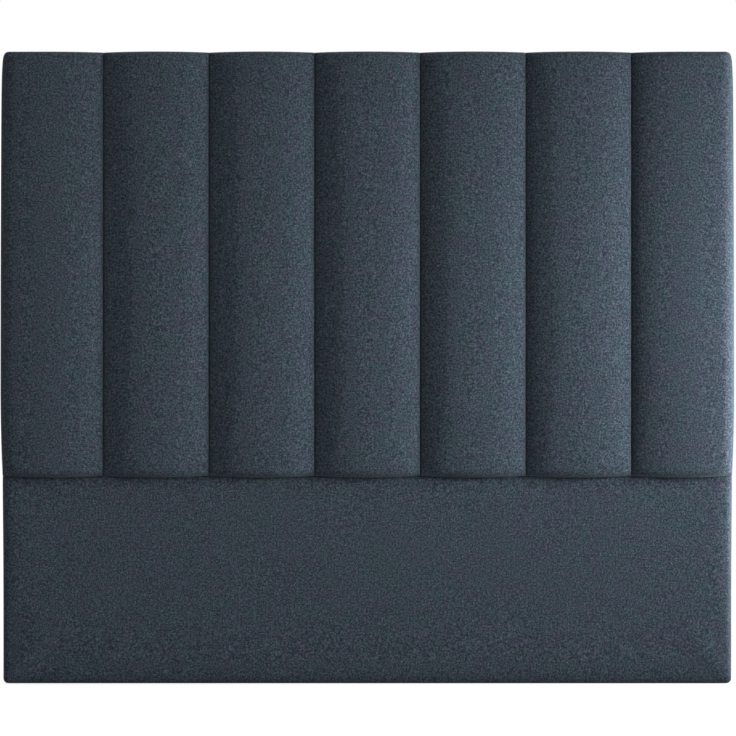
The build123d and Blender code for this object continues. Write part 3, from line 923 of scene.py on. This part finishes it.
def staples():
    """A run of wire staples round the edge of the back cloth, as one mesh."""
    verts = []
    faces = []
    surface_y = back_high.y + HEM_RISE
    half = STAPLE_CROWN / 2
    path = [
        (-half, -STAPLE_LEG),
        (-half, 0.0),
        (-half + STAPLE_BEND * BEND_START, STAPLE_BEND * (1 - BEND_START)),
        (-half + STAPLE_BEND, STAPLE_BEND),
    ]
    path += [(-a, h) for a, h in reversed(path)]
    low_x, high_x = back_low.x + STAPLE_INSET, back_high.x - STAPLE_INSET
    low_z, high_z = back_low.z + STAPLE_INSET, back_high.z - STAPLE_INSET
    runs = [((low_x, low_z), (high_x, low_z)), ((high_x, low_z), (high_x, high_z))]
    runs += [((high_x, high_z), (low_x, high_z)), ((low_x, high_z), (low_x, low_z))]
    for run, (start, end) in enumerate(runs):
        length = abs(end[0] - start[0]) + abs(end[1] - start[1])
        count = round(length / STAPLE_SPACING)
        ahead = Vector((end[0] - start[0], end[1] - start[1])) / length
        for k in range(count):
            spot = (k * STAPLE_NOISE[0], run * STAPLE_NOISE[1])
            jitter = Vector([noise.noise(Vector((*spot, seed))) for seed in STAPLE_SEEDS])
            along = (k + 0.5 + STAPLE_SHIFT * jitter.x) * length / count
            centre = Vector(start) + ahead * along
            turn = STAPLE_TURN * jitter.y
            lead_x = ahead.x * cos(turn) - ahead.y * sin(turn)
            lead = Vector((lead_x, ahead.x * sin(turn) + ahead.y * cos(turn)))
            side = Vector((-lead.y, lead.x))
            centre += side * STAPLE_STRAY * jitter.z
            first = len(verts)
            for a, rise in path:
                for across, thick in ((-1, 0), (1, 0), (1, 1), (-1, 1)):
                    flat = centre + lead * a + side * across * STAPLE_WIRE[0] / 2
                    y = surface_y - STAPLE_BEND + rise + (thick * STAPLE_WIRE[1])
                    verts.append((flat.x, y, flat.y))
            for ring in range(len(path) - 1):
                for corner in range(4):
                    a = first + ring * 4 + corner
                    b = first + ring * 4 + (corner + 1) % 4
                    faces.append((a, b, b + 4, a + 4))
            last = first + (len(path) - 1) * 4
            faces.append((first + 3, first + 2, first + 1, first))
            faces.append((last, last + 1, last + 2, last + 3))
    mesh = bpy.data.meshes.new("back_cloth_staples")
    mesh.from_pydata(verts, [], faces)
    mesh.materials.append(ZINC_PLATE)
    piece = bpy.data.objects.new("back_cloth_staples", mesh)
    bpy.context.scene.collection.objects.link(piece)
    return piece


wire_staples = staples()
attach(wire_staples, "root")

# The studio: a plain pale floor and a surround that lights the board almost only from the right, a soft
# lamp to the right and in front, a narrow one beside the board and a weak one at the left. The camera
# stands square on, level with the middle of the board.
CAMERA_DISTANCE = 14.0
CAMERA_HEIGHT = 0.6500
CAMERA_SIDE = 0.0014
PICTURE_SPAN = 1.5148
SENSOR = 36.0
FLOOR_SIZE = 12.0
FLOOR_COLOUR = (0.4, 0.4, 0.4, 1)
DOME_LIGHT = 0.03
DOME_FROM_RIGHT = 1.31
DOME_REACH = 0.2
LAMP_AIM = (0, 0, 0.70)
LAMP_COLOUR = (0.93, 0.97, 1.0)
SOFT_LAMP = ((2.4, -0.57, 0.80), (0.45, 0.7), radians(66), 11.0)
SIDE_LAMP = ((1.5, 0.08, 0.45), (0.3, 0.6), radians(100), 3.0)
LEFT_LAMP = ((-1.9, -0.9, 0.75), (0.5, 0.6), radians(120), 0.8)

floor_mesh = bpy.data.meshes.new("floor")
half_floor = FLOOR_SIZE / 2
floor_corners = [(x * half_floor, y * half_floor, 0) for x, y in ((-1, -1), (1, -1), (1, 1), (-1, 1))]
floor_mesh.from_pydata(floor_corners, [], [(0, 1, 2, 3)])
floor = bpy.data.objects.new("floor", floor_mesh)
bpy.context.scene.collection.objects.link(floor)
floor_material, tree, surface = blank_material("pale_floor")
surface.inputs["Base Color"].default_value = FLOOR_COLOUR
surface.inputs["Roughness"].default_value = 0.9
glow = wire(tree, "ShaderNodeEmission", {"Color": (1, 1, 1, 1), "Strength": 0.8})
seen = wire(tree, "ShaderNodeLightPath")
both = wire(tree, "ShaderNodeAddShader", {0: glow.outputs[0], 1: surface.outputs[0]})
shown = wire(
    tree,
    "ShaderNodeMixShader",
    {0: seen.outputs["Is Camera Ray"], 1: surface.outputs[0], 2: both.outputs[0]},
)
tree.links.new(shown.outputs[0], tree.nodes["Material Output"].inputs["Surface"])
floor_mesh.materials.append(floor_material)
floor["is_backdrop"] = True

world = bpy.data.worlds.new("surround")
bpy.context.scene.world = world
world.use_nodes = True
tree = world.node_tree
background = tree.nodes["Background"]
rays = wire(tree, "ShaderNodeLightPath")
direct = calculate(tree, "MAXIMUM", rays.outputs["Is Camera Ray"], rays.outputs["Is Glossy Ray"])
direct = calculate(tree, "MAXIMUM", direct, rays.outputs["Is Transmission Ray"])
ray_way = wire(tree, "ShaderNodeTexCoord").outputs["Generated"]
to_right = wire(tree, "ShaderNodeSeparateXYZ", {0: ray_way}).outputs["X"]
from_right = calculate(tree, "MAXIMUM", calculate(tree, "ADD", to_right, DOME_REACH), 0.0)
dome = calculate(tree, "MULTIPLY_ADD", from_right, DOME_FROM_RIGHT, DOME_LIGHT)
strength = wire(tree, "ShaderNodeMix", {0: direct, 2: dome, 3: 1.0}).outputs[0]
tree.links.new(strength, background.inputs["Strength"])
background.inputs["Color"].default_value = (1, 1, 1, 1)

for name, (place, size, spread, power) in (
    ("soft_lamp", SOFT_LAMP),
    ("side_lamp", SIDE_LAMP),
    ("left_lamp", LEFT_LAMP),
):
    lamp_data = bpy.data.lights.new(name, "AREA")
    lamp_data.shape = "RECTANGLE"
    lamp_data.size, lamp_data.size_y = size
    lamp_data.spread = spread
    lamp_data.energy = power
    lamp_data.color = LAMP_COLOUR
    lamp = bpy.data.objects.new(name, lamp_data)
    lamp.location = place
    lamp.rotation_euler = (Vector(LAMP_AIM) - lamp.location).to_track_quat("-Z", "Y").to_euler()
    bpy.context.scene.collection.objects.link(lamp)

camera_data = bpy.data.cameras.new("camera")
camera_data.sensor_width = SENSOR
camera_data.lens = SENSOR * CAMERA_DISTANCE / PICTURE_SPAN
camera = bpy.data.objects.new("camera", camera_data)
camera.location = (CAMERA_SIDE, -CAMERA_DISTANCE, CAMERA_HEIGHT)
camera.rotation_euler = (pi / 2, 0, 0)
bpy.context.scene.collection.objects.link(camera)
bpy.context.scene.camera = camera
bpy.context.scene.view_settings.view_transform = "Standard"

low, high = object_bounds()
